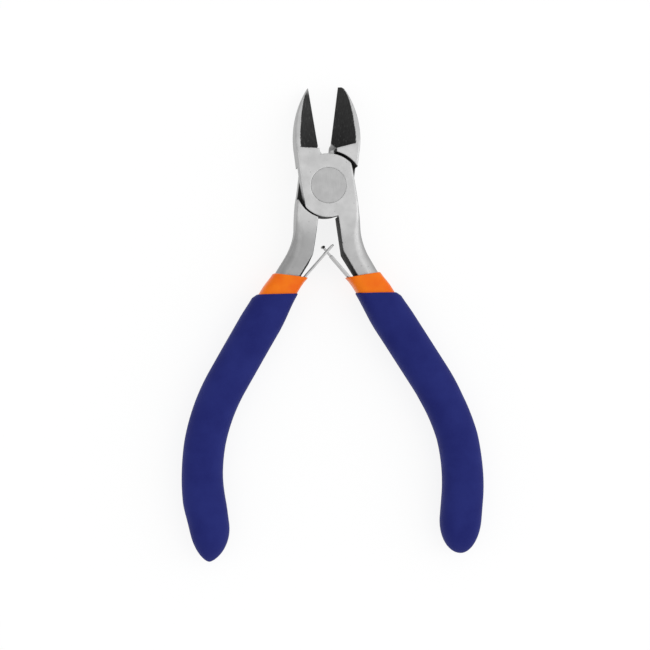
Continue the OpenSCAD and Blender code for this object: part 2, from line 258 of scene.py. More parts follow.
def sharpen(obj, degrees):
    """Splits the shading at edges steeper than that."""
    obj.data.set_sharp_from_angle(angle=math.radians(degrees))


def float_attribute(obj, name, values):
    attribute = obj.data.attributes.new(name, "FLOAT", "POINT")
    attribute.data.foreach_set("value", np.asarray(values, np.float32))


def loft_faces(rings, count):
    """Faces of a tube of rings, with a cap at each end."""
    faces = []
    for k in range(rings - 1):
        for i in range(count):
            j = (i + 1) % count
            faces.append((k * count + i, k * count + j, (k + 1) * count + j, (k + 1) * count + i))
    faces.append(tuple(range(count - 1, -1, -1)))
    faces.append(tuple((rings - 1) * count + i for i in range(count)))
    return faces


# ---- steel halves, as signed distances turned into meshes ----

VOXEL = 0.16
DETAIL_END = -28.5
HIDDEN_STEP = 1.0
GRID_X = (-8.2, 26.5)
GRID_MARGIN_Z = 0.8

PLAIN_THROAT = (0.2, 9.8)
THROAT_FLOOR = 4.0
NOSE_START = 6
MILLED_FACE_END = -36

# How far the front and rear faces fall back, and the radius of the outer edges, as (y, distance) pairs
FACE_FALL = [(-27.8, (THICKNESS - TANG_THICKNESS) / 2), (-22.8, (THICKNESS - TANG_MOUTH_THICKNESS) / 2),
             (-9.5, 0)]
FRONT_EDGE = [(-18, 2.9), (-13, 2.2), (-9, 1.0), (-5, 0.45), (3, 0.35), (12, 0.4), (24, 0.3)]
REAR_EDGE = [(-18, 2.9), (-13, 2.2), (-9, 1.2), (-5, 0.8), (10, 0.8), (24, 0.5)]


def polygon_distance(x, y, corners):
    """Signed distance to a closed polygon, negative inside, on a flat grid."""
    corners = np.array(corners)
    best = np.full(x.shape, 1e9)
    inside = np.zeros(x.shape, bool)
    for (ax, ay), (bx, by) in zip(corners, np.roll(corners, -1, axis=0)):
        ex, ey = bx - ax, by - ay
        if ex == 0 and ey == 0:
            continue
        t = np.clip(((x - ax) * ex + (y - ay) * ey) / (ex * ex + ey * ey), 0, 1)
        best = np.minimum(best, (x - ax - t * ex) ** 2 + (y - ay - t * ey) ** 2)
        if ay != by:
            crosses = (ay > y) != (by > y)
            inside ^= crosses & (x < ex * (y - ay) / ey + ax)
    return np.where(inside, -1, 1) * np.sqrt(best)


def soft_max(a, b, r):
    """Intersection of two distances with an edge rounded to radius r."""
    u, v = np.maximum(a + r, 0), np.maximum(b + r, 0)
    return np.minimum(np.maximum(a, b), -r) + np.sqrt(u * u + v * v)


def soft_min(a, b, r):
    return -soft_max(-a, -b, r)


def envelope_outline(hand):
    """Outer sides of a half, run on past everything inside them."""
    half = TANG_WIDTH / 2
    above_tip, below_tang, past_end = JAW_REACH + 9, -100, 20
    side_y = np.linspace(hand.reach, hand.widest_y, 30)
    outer = [(hand.hub_side, 12), (0, above_tip), (-hand.width_at(hand.reach), above_tip)]
    outer += [(-hand.width_at(y), y) for y in side_y]
    outer += [(-HUB_HALF_WIDTH, 2.0), (-HUB_HALF_WIDTH, below_tang)]
    outer += [tuple(BOW_END + half * outward(-TAIL_ANGLE) + past_end * along(-TAIL_ANGLE))]
    outer += arc(BOW_CENTRE, BOW_RADIUS + half, -TAIL_ANGLE, HANDLE_ANGLE, 24)
    outer += arc(BEND_CENTRE, half - BEND_RADIUS, HANDLE_ANGLE, 0, 12)
    outer += [(hand.hub_side, -5)]
    return outer


def jaw_outline(throat):
    """The jaw's inner side, with the throat under its cutting edge."""
    far, above_tip = -12, JAW_REACH + 5
    start = [(far, 0), (throat[0][0], 0)]
    return start + throat + [(EDGE_X, EDGE_START), (EDGE_X, above_tip), (far, above_tip)]


def tang_outline():
    """The tang, run on past its inner side and its milled face, which are cut separately."""
    half = TANG_WIDTH / 2
    lip, side, far = 1.0, TANG_HALF_GAP - 0.4, 40
    end_angle = path_angle(BOW_LENGTH - TANG_END_GAP)
    inner = arc(BOW_CENTRE, BOW_RADIUS - half, end_angle, HANDLE_ANGLE, 24)
    end = inner[0] + 12 * outward(end_angle)
    hidden_step = FACE_POINT + 15 * along(HANDLE_ANGLE)
    corner_y = FACE_CORNER[1] - lip / math.sin(math.radians(HANDLE_ANGLE))
    return inner + [tuple(hidden_step), tuple(hidden_step - lip * outward(HANDLE_ANGLE)),
                    (side, corner_y), (side, 0), (far, 0), tuple(end)]


def line_distance(x, y, a, b):
    """Signed distance to the line from a to b, positive on its left."""
    ex, ey = b[0] - a[0], b[1] - a[1]
    return (ex * (y - a[1]) - ey * (x - a[0])) / math.hypot(ex, ey)


def smoothed(values, width):
    kernel = np.hanning(width) / np.hanning(width).sum()
    return np.convolve(np.pad(values, width // 2, mode="edge"), kernel, mode="valid")


def bevel_distance(x, z):
    """Distance in front of the ground bevel's plane."""
    height = THICKNESS - EDGE_HEIGHT
    length = math.hypot(height, BEVEL_HALF_WIDTH)
    return ((x - EDGE_X) * height + (z - EDGE_HEIGHT) * BEVEL_HALF_WIDTH) / length


def milled_distance(x, y, z, hand):
    """Distance outside the milled face, which leans open toward the front."""
    plan = line_distance(x, y, tuple(FACE_CORNER), tuple(FACE_POINT))
    plan = plan + table_at(y, [(-26, 0), (-23, hand.milled_offset)])
    return -plan * math.cos(hand.milled_draft) + (z - MID_Z) * math.sin(hand.milled_draft)


def side_distance(x, z, hand):
    """Distance outside the tang's inner side, between the hub and the milled face."""
    return TANG_HALF_GAP - x - (z - MID_Z) * math.tan(hand.side_draft)


def limb_distances(x2, y2, z, front, hand):
    """The jaw and the tang. Only the front layer of the rear half's jaw has the ground throat."""
    x, y = x2[:, :, None], y2[:, :, None]
    jaw = polygon_distance(x2, y2, jaw_outline(hand.throat))[:, :, None]
    if not front:
        rear_jaw = polygon_distance(x2, y2, jaw_outline([PLAIN_THROAT]))[:, :, None]
        jaw = np.where(z > THROAT_FLOOR, jaw, rear_jaw)
    tang = polygon_distance(x2, y2, tang_outline())[:, :, None]
    cut = np.maximum(np.maximum(tang, milled_distance(x, y, z, hand)), side_distance(x, z, hand))
    return jaw, np.where(y > MILLED_FACE_END, cut, tang)


def face_distances(ys, z, hand):
    """Front and rear faces: flat at the joint, falling away to the nose and along the tang."""
    fall = smoothed(table_at(ys, FACE_FALL), 15)
    bevel_width = np.maximum(hand.width_at(ys) - table_at(ys, BAND), 0)
    nose = EDGE_HEIGHT + bevel_width * (THICKNESS - EDGE_HEIGHT) / BEVEL_HALF_WIDTH
    top = np.where(ys > NOSE_START, np.minimum(nose, THICKNESS), THICKNESS - fall)
    top = np.where(ys > -25, smoothed(top, 9), top)
    slope = np.hypot(1, np.gradient(top, ys))
    return (z - top[None, :, None]) / slope[None, :, None], fall[None, :, None] - z


def lap_joint(limbs, radius, y2, z, front):
    """Adds the half's plate in its own layer, and clears the other plate's layer out of its limbs."""
    shoulder = np.where(y2 > 0, JAW_SHOULDER, TANG_SHOULDER)[:, :, None]
    other_layer = z - (MID_Z + PLATE_GAP / 2) if front else (MID_Z - PLATE_GAP / 2) - z
    pocket = np.maximum(radius - shoulder, other_layer)
    plate = soft_max(radius - HUB_RADIUS, -other_layer, 0.05)
    return soft_min(soft_max(limbs, -pocket, 0.04), plate, 0.02)


def ground_bevels(steel, x, y, z, hand):
    """Cuts the ground bevel as far as its groove, and its small counterpart behind the edge."""
    groove_end = line_distance(x, y, *hand.groove)
    steel = soft_max(steel, soft_min(bevel_distance(x, z), groove_end, 0.1), 0.03)
    rear_plane = (x - EDGE_X) * EDGE_HEIGHT + (EDGE_HEIGHT - z) * REAR_BEVEL_WIDTH
    rear_plane = rear_plane / math.hypot(EDGE_HEIGHT, REAR_BEVEL_WIDTH)
    return soft_max(steel, soft_min(rear_plane, y - EDGE_START, 0.1), 0.03)


def rivet_hole(radius, z, front):
    head = (THICKNESS - RIVET_HEAD_H) - z if front else z - RIVET_HEAD_H
    counterbore = np.maximum(radius - RIVET_HEAD_R + HEAD_OVERLAP, head)
    return np.minimum(radius - RIVET_SHANK_R - RUNNING_FIT, counterbore)


def half_volume(front, hand):
    """Signed distance of one closed half on a grid whose rows spread out under the sleeves."""
    xs = np.arange(*GRID_X, VOXEL)
    hidden = np.arange(BOW_END[1] - 4, DETAIL_END, HIDDEN_STEP)
    ys = np.concatenate([hidden, np.arange(hidden[-1] + HIDDEN_STEP, JAW_REACH + 1, VOXEL)])
    zs = np.arange(-GRID_MARGIN_Z, THICKNESS + GRID_MARGIN_Z + 0.1, VOXEL)
    x2, y2 = np.meshgrid(xs, ys, indexing="ij")
    x, y, z = x2[:, :, None], y2[:, :, None], zs[None, None, :]
    radius = np.hypot(x2, y2)[:, :, None]

    outline = polygon_distance(x2, y2, envelope_outline(hand))
    outline = soft_max(outline, y2 - hand.reach, hand.tip_round)[:, :, None]
    front_face, rear_face = face_distances(ys, z, hand)
    front_edge, rear_edge = (table_at(ys, table)[None, :, None] for table in (FRONT_EDGE, REAR_EDGE))
    body = soft_max(soft_max(outline, front_face, front_edge), rear_face, rear_edge)

    limbs = np.minimum(*limb_distances(x2, y2, z, front, hand))
    steel = soft_max(lap_joint(limbs, radius, y2, z, front), body, 0.08)
    steel = ground_bevels(steel, x, y, z, hand)
    return xs, ys, zs, np.maximum(steel, -rivet_hole(radius, z, front))


def volume_mesh(xs, ys, zs, distance):
    """Points in mm and quads of the zero surface."""
    grid = openvdb.FloatGrid(1.0)
    grid.copyFromArray(np.ascontiguousarray(np.clip(distance, -1, 1), dtype=np.float32))
    points, _, quads = grid.convertToPolygons(isovalue=0.0, adaptivity=0.0)
    where = [np.interp(points[:, k], np.arange(len(axis)), axis) for k, axis in enumerate((xs, ys, zs))]
    return np.stack(where, axis=1), quads


def bevel_mark(x, y, z, front, hand):
    """Points on the ground bevel and on the wall of its groove."""
    off_plane, off_groove = bevel_distance(x, z), line_distance(x, y, *hand.groove)
    marked = (np.abs(off_plane) < 0.08) & (off_groove > -0.08) & (x < 0.5)
    marked |= (np.abs(off_groove) < 0.12) & (x < 0) & (off_plane > -0.1) & (z < THICKNESS - 0.12)
    if not front:
        marked &= y > 11.0 + 0.9 * np.maximum(x, -1.2)
    return marked


def joint_mark(x, y, z, front):
    """Points in the shoulders' pockets, between the plates and on the plate's rim, where shade is painted.
    """
    radius = np.hypot(x, y)
    shoulder = np.where(y > 0, JAW_SHOULDER, TANG_SHOULDER)
    in_other = (z < MID_Z + 0.1) if front else (z > MID_Z - 0.1)
    marked = (np.abs(radius - shoulder) < 0.12) & in_other & (z < THICKNESS - 0.1)
    marked |= (radius > HUB_RADIUS - 0.05) & (radius < shoulder + 0.05) & in_other & (z < THICKNESS - 0.1)
    marked |= (np.abs(z - MID_Z) < PLATE_GAP) & (radius < shoulder)
    rim = (np.abs(radius - HUB_RADIUS) < 0.1) & ~in_other & (np.abs(x) < HUB_HALF_WIDTH - 0.5)
    return marked | (rim & (z > 0.3) & (z < THICKNESS - 0.3))


def inner_mark(x, y, z, front, hand):
    """Points on the tang's inner side, the milled face and the throat, where shade is painted."""
    corner_y = FACE_CORNER[1]
    marked = (np.abs(side_distance(x, z, hand)) < 0.1) & (y < -7.8) & (y > corner_y - 2.5)
    marked |= (np.abs(milled_distance(x, y, z, hand)) < 0.1) & (y < corner_y + 2.5) & (y > -40)
    marked &= z < THICKNESS - 0.12
    throat = (x > hand.throat[0][0] - 0.3) & (x < 0.5) & (y > 7.7) & (y < EDGE_START - 0.2)
    throat &= z < THICKNESS - 0.15
    if not front:
        throat &= (z > THROAT_FLOOR + 0.15) & (x < 0)
    return marked | throat


def steel_half(name, front, material):
    hand = FRONT if front else REAR
    closed, quads = volume_mesh(*half_volume(front, hand))
    # These faces point inward: flip should be the opposite
    obj = mesh_object(name, place_half(closed, left=not front), quads, "front" if front else "rear",
                      ["front_half" if front else "rear_half"], material, flip=front)
    x, y, z = closed.T
    worn_tip = table_at(y, [(23.0, 1), (24.4, 0.35)]) if front else 1
    # painted shade on the tangs, more on the rear half's
    float_attribute(obj, "tang_shade", table_at(y, [(-14, 0.3 if front else 0.55), (-8, 0)]))
    float_attribute(obj, "bevel", bevel_mark(x, y, z, front, hand) * worn_tip)
    # painted shade: near black in the joint's pockets, between the plates, on the plate's rim and on the
    # inner faces
    float_attribute(obj, "recess_shade", joint_mark(x, y, z, front) | inner_mark(x, y, z, front, hand))


# ---- pivot rivet ----

def lathe(profile, steps):
    """Closed solid of revolution from (radius, z) pairs that start and end on the axis."""
    rings = profile[1:-1]
    points = [(0, 0, profile[0][1])]
    for r, z in rings:
        points += [(r * math.cos(2 * math.pi * i / steps), r * math.sin(2 * math.pi * i / steps), z)
                   for i in range(steps)]
    points.append((0, 0, profile[-1][1]))
    faces = [(0, 1 + (i + 1) % steps, 1 + i) for i in range(steps)]
    for k in range(len(rings) - 1):
        a, b = 1 + k * steps, 1 + (k + 1) * steps
        faces += [(a + i, a + (i + 1) % steps, b + (i + 1) % steps, b + i) for i in range(steps)]
    last = 1 + (len(rings) - 1) * steps
    faces += [(last + i, last + (i + 1) % steps, len(points) - 1) for i in range(steps)]
    return points, faces


def pivot_rivet(material):
    r, h, shank = RIVET_HEAD_R, RIVET_HEAD_H, RIVET_SHANK_R
    rim = 0.03
    lower = [(0, 0), (r - rim, 0), (r, rim), (r, h), (shank, h)]
    upper = [(shank, THICKNESS - h), (r, THICKNESS - h), (r, THICKNESS - rim), (r - rim, THICKNESS)]
    points, faces = lathe(lower + upper + [(0, THICKNESS)], 128)
    obj = mesh_object("pivot_rivet_head", points, faces, "rear", ["pivot_rivet"], material)
    sharpen(obj, 35)


# ---- springs ----

def face_frame(u, v, z):
    """A point u mm up the milled face from the bend and v mm off it, in the closed frame."""
    origin = LEAF_BEND + LEAF_THICKNESS / 2 * outward(HANDLE_ANGLE)
    p = origin - u * along(HANDLE_ANGLE) - v * outward(HANDLE_ANGLE)
    return np.array([p[0], p[1], MID_Z + z])


def leaf_line(u):
    """Middle of the strip at distance u from its bend: flat on the tang below, splayed above."""
    splay = math.radians(LEAF_ANGLE - HANDLE_ANGLE)
    blend = 1.2
    if u < -blend:
        return u, 0.0
    if u < blend:
        t = (u + blend) / (2 * blend)
        return u, math.tan(splay) * blend * t * t
    return u * math.cos(splay) + (1 - math.cos(splay)) * blend, math.sin(splay) * u


def spring_leaf(name, left, nodes, material):
    """One strip from its foot on the tang, around the bend, to its slotted or tongued end."""
    end = LEAF_REACH + (LEAF_OVERRUN + SLOTTED_EXTRA if left else LEAF_OVERRUN - TONGUE_CUT)
    foot, crossing, rivet_place = -FOOT_LENGTH - BEND_ROOM, LEAF_REACH, -3.1
    even = [round(v, 3) for v in np.linspace(foot, end, 60)]
    us = sorted(set(even + [rivet_place - FOOT_RIVET_R, rivet_place + FOOT_RIVET_R, crossing - 1.5,
                            crossing - SLOT_HALF_LENGTH, crossing + SLOT_HALF_LENGTH]))
    half, margin = LEAF_WIDTH / 2, 0.25
    zs = [-half, -half + margin, -1.6, -SLOT_HALF_WIDTH, -TONGUE_HALF_WIDTH, 0.0,
          TONGUE_HALF_WIDTH, SLOT_HALF_WIDTH, 1.6, half - margin, half]

    def keeps(u0, u1, z0, z1):
        u, z = (u0 + u1) / 2, (z0 + z1) / 2
        if left:
            return not (abs(u - crossing) < SLOT_HALF_LENGTH and abs(z) < SLOT_HALF_WIDTH)
        return u < crossing - SHOULDER_DISTANCE or abs(z) < TONGUE_HALF_WIDTH

    points, index, faces = [], {}, []
    tip = 0.5

    def vertex(i, k, side):
        """Index of a point of the strip. Side 1 faces away from the tang and side -1 toward it."""
        key = (i, k, side)
        if key not in index:
            u, v = leaf_line(us[i])
            u2, v2 = leaf_line(us[i] + 0.01)
            length = math.hypot(u2 - u, v2 - v)
            normal = (-(v2 - v) / length, (u2 - u) / length)
            t = LEAF_THICKNESS / 2 * side
            z = zs[k]
            if us[i] > end - tip and left:
                z *= math.sqrt(max(0.05, 1 - ((us[i] - end + tip) / (tip + 0.05)) ** 2)) * 0.15 + 0.85
            index[key] = len(points)
            points.append(face_frame(u + normal[0] * t, LEAF_THICKNESS / 2 + v + normal[1] * t, z))
        return index[key]

    cells = [(i, k) for i in range(len(us) - 1) for k in range(len(zs) - 1)
             if keeps(us[i], us[i + 1], zs[k], zs[k + 1])]
    kept = set(cells)
    for i, k in cells:
        a, b, c, d = (i, k), (i + 1, k), (i + 1, k + 1), (i, k + 1)
        faces.append(tuple(vertex(*corner, 1) for corner in (a, b, c, d)))
        faces.append(tuple(vertex(*corner, -1) for corner in (a, d, c, b)))
        for di, dk, a, b in ((-1, 0, (i, k + 1), (i, k)), (1, 0, (i + 1, k), (i + 1, k + 1)),
                             (0, -1, (i, k), (i + 1, k)), (0, 1, (i + 1, k + 1), (i, k + 1))):
            if (i + di, k + dk) not in kept:
                faces.append((vertex(*a, 1), vertex(*a, -1), vertex(*b, -1), vertex(*b, 1)))
    strip_points = len(points)
    if not left:
        u, v = leaf_line(end)
        add_rolled_head(points, faces, u, LEAF_THICKNESS / 2 + v)
    obj = mesh_object(name, place_half(points, left), faces, None, nodes, material,
                      flip=not left)
    # marks the rolled head, which gets painted shade
    float_attribute(obj, "rolled_head", np.arange(len(points)) >= strip_points)
    bevel = obj.modifiers.new("rolled_edges", "BEVEL")
    bevel.width = 0.07 * MM
    bevel.segments = 2
    bevel.limit_method = "ANGLE"
    bevel.angle_limit = math.radians(50)
    sharpen(obj, 40)
    reach = 0.8
    low = place_half([face_frame(-reach, 0, 0)], left)[0] * MM
    high = place_half([face_frame(reach, 0, 0)], left)[0] * MM
    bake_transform(obj)


def add_rolled_head(points, faces, u, v):
    """A small roll across the tongue's end."""
    radius, half_width, rim, steps = 0.36, 1.7, 0.12, 20
    first = len(points)
    rings = [(-half_width, 0.7), (-half_width + rim, 1.0), (half_width - rim, 1.0), (half_width, 0.7)]
    for z, scale in rings:
        for i in range(steps):
            a = 2 * math.pi * i / steps
            points.append(face_frame(u + radius * scale * math.cos(a), v + radius * scale * math.sin(a), z))
    faces += [tuple(first + i for i in f) for f in loft_faces(len(rings), steps)]


def spring_rivet(name, left, body, node, material):
    r, bottom, seat = FOOT_RIVET_R, -FOOT_RIVET_DEPTH, LEAF_THICKNESS
    head_r, head_h = 1.75 * r, 0.55
    shank = [(0, bottom), (r - 0.1, bottom), (r, bottom + 0.1), (r, seat)]
    head = [(head_r, seat), (head_r, seat + 0.2), (head_r * 0.8, seat + 0.45),
            (head_r * 0.45, seat + head_h), (0, seat + head_h)]
    local, faces = lathe(shank + head, 32)
    u = -(LEAF_THICKNESS / 2 + 0.08 + FOOT_LENGTH / 2)
    points = [face_frame(u + p[0], p[2], p[1]) for p in local]
    # These faces point inward too: flip should be the opposite
    obj = mesh_object(name, place_half(points, left), faces, body, [node], material,
                      flip=left)
    sharpen(obj, 35)


# ---- sleeves ----

MOUTH_S = (COLLAR_MOUTH_Y + BEND_END[1]) / outward(HANDLE_ANGLE)[0] - STRAIGHT_LENGTH
GRIP_S = ((GRIP_TOP_Y + turned(BEND_END, HALF_OPENING)[1]) / outward(HANDLE_ANGLE + HALF_OPENING)[0]
          - STRAIGHT_LENGTH)
UNTILTED_S = GRIP_S + 10
FACE_X = TANG_WIDTH / 2


def tilt_at(s):
    return float(np.interp(s, [MOUTH_S, GRIP_S, UNTILTED_S], [HANDLE_ANGLE, HANDLE_ANGLE + HALF_OPENING, 0]))


def inner_s(s):
    return s - (FACE_X + COLLAR_STANDOFF) * math.tan(math.radians(tilt_at(s)))


class Section:
    """A ring's inner and outer edge from the tang's centre line, its half thickness and its squareness."""

    def __init__(self, inner, outer, half, power):
        self.inner, self.outer, self.half, self.power = inner, outer, half, power

    def mixed(self, other, t):
        return Section(*(a + (b - a) * t for a, b in zip(self.values(), other.values())))

    def values(self):
        return self.inner, self.outer, self.half, self.power

    def inset(self, d):
        return Section(self.inner + d, self.outer - d, self.half - d, self.power)


def collar_outer(s):
    lip_s = inner_s(MOUTH_S)
    flare = [(lip_s, COLLAR_STANDOFF + MOUTH_FLARE), (lip_s + 1.7, COLLAR_STANDOFF + 0.08),
             (lip_s + 3, COLLAR_STANDOFF)]
    standoff = eased(inner_s(s), flare)
    wall = eased(s, [(MOUTH_S, 0.45), (MOUTH_S + 4, COLLAR_WALL)])
    return Section(-FACE_X - standoff, FACE_X + wall, COLLAR_THICKNESS / 2, 3.4)


def collar_cavity(s):
    """Snug on the tang, with room beside it for the spring's foot and leaf."""
    height = np.interp(-path_point(inner_s(s))[1], [8.25, 22.8, 27.8],
                       [THICKNESS, TANG_MOUTH_THICKNESS, TANG_THICKNESS]) / 2
    splay = math.tan(math.radians(LEAF_ANGLE - HANDLE_ANGLE))
    pocket = max(1.15, LEAF_THICKNESS + 0.15 + (LEAF_BEND_S - inner_s(s)) * splay)
    pocket = min(pocket, -collar_outer(s).inner - FACE_X - 0.3)
    pocket *= eased(s, [(LEAF_BEND_S + 6.4, 1), (LEAF_BEND_S + 7.4, 0)])
    return Section(-FACE_X - pocket - 0.02, FACE_X - 0.12, height - 0.1, 3.0)


def grip_outer(s):
    collar = collar_outer(s)
    wall = eased(s, [(GRIP_S, 0.45), (GRIP_S + 1.6, 0.95), (GRIP_S + 9, 1.15), (BOW_LENGTH - 12, 1.1),
                     (BOW_LENGTH, 1.3)])
    pad = eased(s, [(GRIP_S, 0.3), (GRIP_S + 8, 1.0), (BOW_LENGTH, 1.0)])
    front = eased(s, [(GRIP_S, 0.4), (GRIP_S + 8, (THICKNESS - COLLAR_THICKNESS) / 2)])
    power = eased(s, [(GRIP_S, 3.0), (GRIP_S + 12, 2.5)])
    return Section(collar.inner - pad, collar.outer + wall, collar.half + front, power)


def ring(s, section, count):
    """Superellipse points around the handle at s, in the closed frame."""
    tilt = tilt_at(s)
    axis = outward(path_angle(s) - tilt) / math.cos(math.radians(tilt))
    centre = path_point(s)
    middle, half_x = (section.inner + section.outer) / 2, (section.outer - section.inner) / 2
    points = []
    for i in range(count):
        a = 2 * math.pi * i / count
        x = math.copysign(abs(math.cos(a)) ** (2 / section.power), math.cos(a))
        z = math.copysign(abs(math.sin(a)) ** (2 / section.power), math.sin(a))
        p = centre + (middle + half_x * x) * axis
        points.append((p[0], p[1], MID_Z + section.half * z))
    return points


def spaced(start, end, step):
    count = max(2, int(abs(end - start) / step) + 1)
    return list(np.linspace(start, end, count))


SLEEVE_RING = 120  # points in each ring


def sleeve_object(name, left, rings, body, node, material):
    points = [p for r in rings for p in r]
    faces = loft_faces(len(rings), SLEEVE_RING)
    obj = mesh_object(name, place_half(points, left), faces, body, [node], material, flip=left)
    sharpen(obj, 60)


def mouth_rings(s, inside, outside, radius):
    """Rings that roll over a sleeve's rim from its inner surface to its outer one."""
    rings, steps = [], 8
    for i in range(steps + 1):
        a = math.pi * i / steps
        place = s + radius * (1 - math.sin(a))
        rings.append(ring(place, inside(place).mixed(outside(place), (1 - math.cos(a)) / 2), SLEEVE_RING))
    return rings


def collar(name, left, body, node, material):
    cavity_end = BOW_LENGTH - TANG_END_GAP + 0.1
    rings = [ring(s, collar_cavity(s), SLEEVE_RING) for s in spaced(cavity_end, MOUTH_S + 1.2, 1.0)]
    rings += mouth_rings(MOUTH_S, collar_cavity, collar_outer, 0.28)
    rings += [ring(s, collar_outer(s), SLEEVE_RING) for s in spaced(MOUTH_S + 0.5, GRIP_S + 1, 0.25)]
    rings += [ring(s, collar_outer(s), SLEEVE_RING) for s in spaced(GRIP_S + 2, BOW_LENGTH, 1.0)]
    sleeve_object(name, left, rings, body, node, material)


def grip(name, left, body, node, material):
    def inside(s):
        return collar_outer(s).inset(-0.03)

    def outside(s):
        """The left grip's end is slimmer on its outer side and stands nearer the middle."""
        section = grip_outer(s)
        if left:
            section.outer -= eased(s, [(BOW_LENGTH - 2, 0), (BOW_LENGTH + 7, 0.8)])
            section.inner -= eased(s, [(BOW_LENGTH - 9, 0), (BOW_LENGTH + 2, 0.35)])
        return section

    taper_start = 5.0
    taper_run = GRIP_END_LENGTH - taper_start
    pointedness = 1.3 if left else 1.0
    rings = [ring(s, inside(s), SLEEVE_RING) for s in spaced(BOW_LENGTH + 0.03, GRIP_S + 1.2, 1.0)]
    rings += mouth_rings(GRIP_S, inside, outside, 0.4)
    body_end = BOW_LENGTH + taper_start - 0.4
    rings += [ring(s, outside(s), SLEEVE_RING) for s in spaced(GRIP_S + 0.7, body_end, 0.4)]
    for t in np.linspace(0, 88, 24):
        scale = math.cos(math.radians(t)) ** pointedness
        s = BOW_LENGTH + taper_start + taper_run * math.sin(math.radians(t))
        section = outside(s)
        shrunk = Section(*(scale * v for v in section.values()[:3]), section.power)
        rings.append(ring(s, shrunk, SLEEVE_RING))
    sleeve_object(name, left, rings, body, node, material)


# ---- materials ----

class Nodes:
    """Short-hand for building one material's node tree."""

    def __init__(self, name):
        self.material = bpy.data.materials.new(name)
        self.material.use_nodes = True
        self.tree = self.material.node_tree
        self.shader = self.tree.nodes["Principled BSDF"]

    def add(self, kind, **sockets):
        node = self.tree.nodes.new("ShaderNode" + kind)
        for key, value in sockets.items():
            node.inputs[key.replace("_", " ")].default_value = value
        return node

    def link(self, a, b):
        self.tree.links.new(a, b)

    def set(self, **sockets):
        for key, value in sockets.items():
            self.shader.inputs[key.replace("_", " ")].default_value = value

    def coordinates(self, scale=(1, 1, 1), rotation=(0, 0, 0)):
        """Object coordinates in millimetres, scaled again by scale."""
        coord = self.add("TexCoord")
        mapping = self.add("Mapping")
        mapping.inputs["Scale"].default_value = [1000 * v for v in scale]
        mapping.inputs["Rotation"].default_value = rotation
        self.link(coord.outputs["Object"], mapping.inputs["Vector"])
        return mapping.outputs["Vector"]

    def noise(self, vector, scale, detail=3.0, roughness=0.5):
        node = self.add("TexNoise", Scale=scale, Detail=detail, Roughness=roughness)
        self.link(vector, node.inputs["Vector"])
        return node.outputs["Fac"]

    def math(self, operation, a, b=None):
        node = self.tree.nodes.new("ShaderNodeMath")
        node.operation = operation
        for socket, value in zip(node.inputs, (a, b)):
            if isinstance(value, (int, float)):
                socket.default_value = value
            elif value is not None:
                self.link(value, socket)
        return node.outputs[0]

    def range(self, value, low, high, to_low=0.0, to_high=1.0):
        node = self.tree.nodes.new("ShaderNodeMapRange")
        for key, number in (("From Min", low), ("From Max", high), ("To Min", to_low), ("To Max", to_high)):
            node.inputs[key].default_value = number
        self.link(value, node.inputs["Value"])
        return node.outputs[0]

    def mix(self, factor, a, b):
        node = self.tree.nodes.new("ShaderNodeMix")
        node.data_type = "RGBA"
        for socket, value in ((node.inputs["Factor"], factor), (node.inputs[6], a), (node.inputs[7], b)):
            if isinstance(value, (tuple, float, int)):
                socket.default_value = value
            else:
                self.link(value, socket)
        return node.outputs[2]

    def attribute(self, name):
        node = self.tree.nodes.new("ShaderNodeAttribute")
        node.attribute_name = name
        return node.outputs["Fac"]

    def upward(self):
        """How squarely the surface faces front or rear, from 0 on the sides to 1."""
        split = self.tree.nodes.new("ShaderNodeSeparateXYZ")
        self.link(self.add("TexCoord").outputs["Normal"], split.inputs[0])
        return self.math("ABSOLUTE", split.outputs["Z"])

    def bump(self, height, strength, distance):
        node = self.add("Bump", Strength=strength, Distance=distance)
        self.link(height, node.inputs["Height"])
        self.link(node.outputs["Normal"], self.shader.inputs["Normal"])


def grey(value):
    return (value, value, value, 1.0)


def forged_steel():
    """Satin ground steel, black on the ground bevels, with painted shade in the recesses, down the tangs and
    on the side walls.
    """
    n = Nodes("forged_steel_satin")
    plain = n.coordinates()
    lay = n.coordinates(scale=(2.2, 0.25, 1.0), rotation=(0, 0, 0.5))
    grain = n.noise(lay, 5.0, 4.0, 0.6)
    cloud = n.noise(plain, 0.35, 3.0)
    pits = n.range(n.noise(plain, 1.9, 1.0), 0.745, 0.775)
    tone = n.mix(n.range(cloud, 0.3, 0.7), grey(0.52), grey(0.62))
    tone = n.mix(n.range(grain, 0.3, 0.7, 0.0, 0.22), tone, grey(0.42))
    tone = n.mix(n.math("MULTIPLY", pits, 0.6), tone, grey(0.2))
    streaks = n.noise(n.coordinates(scale=(3.0, 0.12, 3.0)), 3.0, 4.0, 0.6)
    black = n.mix(n.range(streaks, 0.45, 0.75), grey(0.012), grey(0.05))
    scuffs = n.range(n.noise(n.coordinates(scale=(1.6, 0.5, 1)), 1.7, 3.0, 0.65), 0.6, 0.7, 0, 0.7)
    black = n.mix(scuffs, black, grey(0.12))
    bevel = n.attribute("bevel")
    recess_shade = n.attribute("recess_shade")
    # painted shade: the tangs darkened toward grey, the rear half's more
    tone = n.mix(n.attribute("tang_shade"), tone, grey(0.22))
    # painted shade: the sides, which face neither front nor rear, are darkened
    tone = n.mix(n.range(n.upward(), 0.35, 0.8, 0.6, 0), tone, grey(0.2))
    tone = n.mix(bevel, tone, black)
    # painted shade: near black, less metallic and rougher in the joint's pockets, between the plates and on
    # the inner faces
    tone = n.mix(recess_shade, tone, grey(0.022))
    dark = n.math("MAXIMUM", bevel, recess_shade)
    n.link(tone, n.shader.inputs["Base Color"])
    n.link(n.range(dark, 0, 1, 1.0, 0.3), n.shader.inputs["Metallic"])
    gloss = n.range(grain, 0.2, 0.8, 0.36, 0.48)
    n.link(n.math("MAXIMUM", gloss, n.math("MULTIPLY", dark, 0.78)), n.shader.inputs["Roughness"])
    n.bump(n.math("ADD", grain, n.math("MULTIPLY", pits, -1.5)), 0.25, 0.00002)
    return n.material


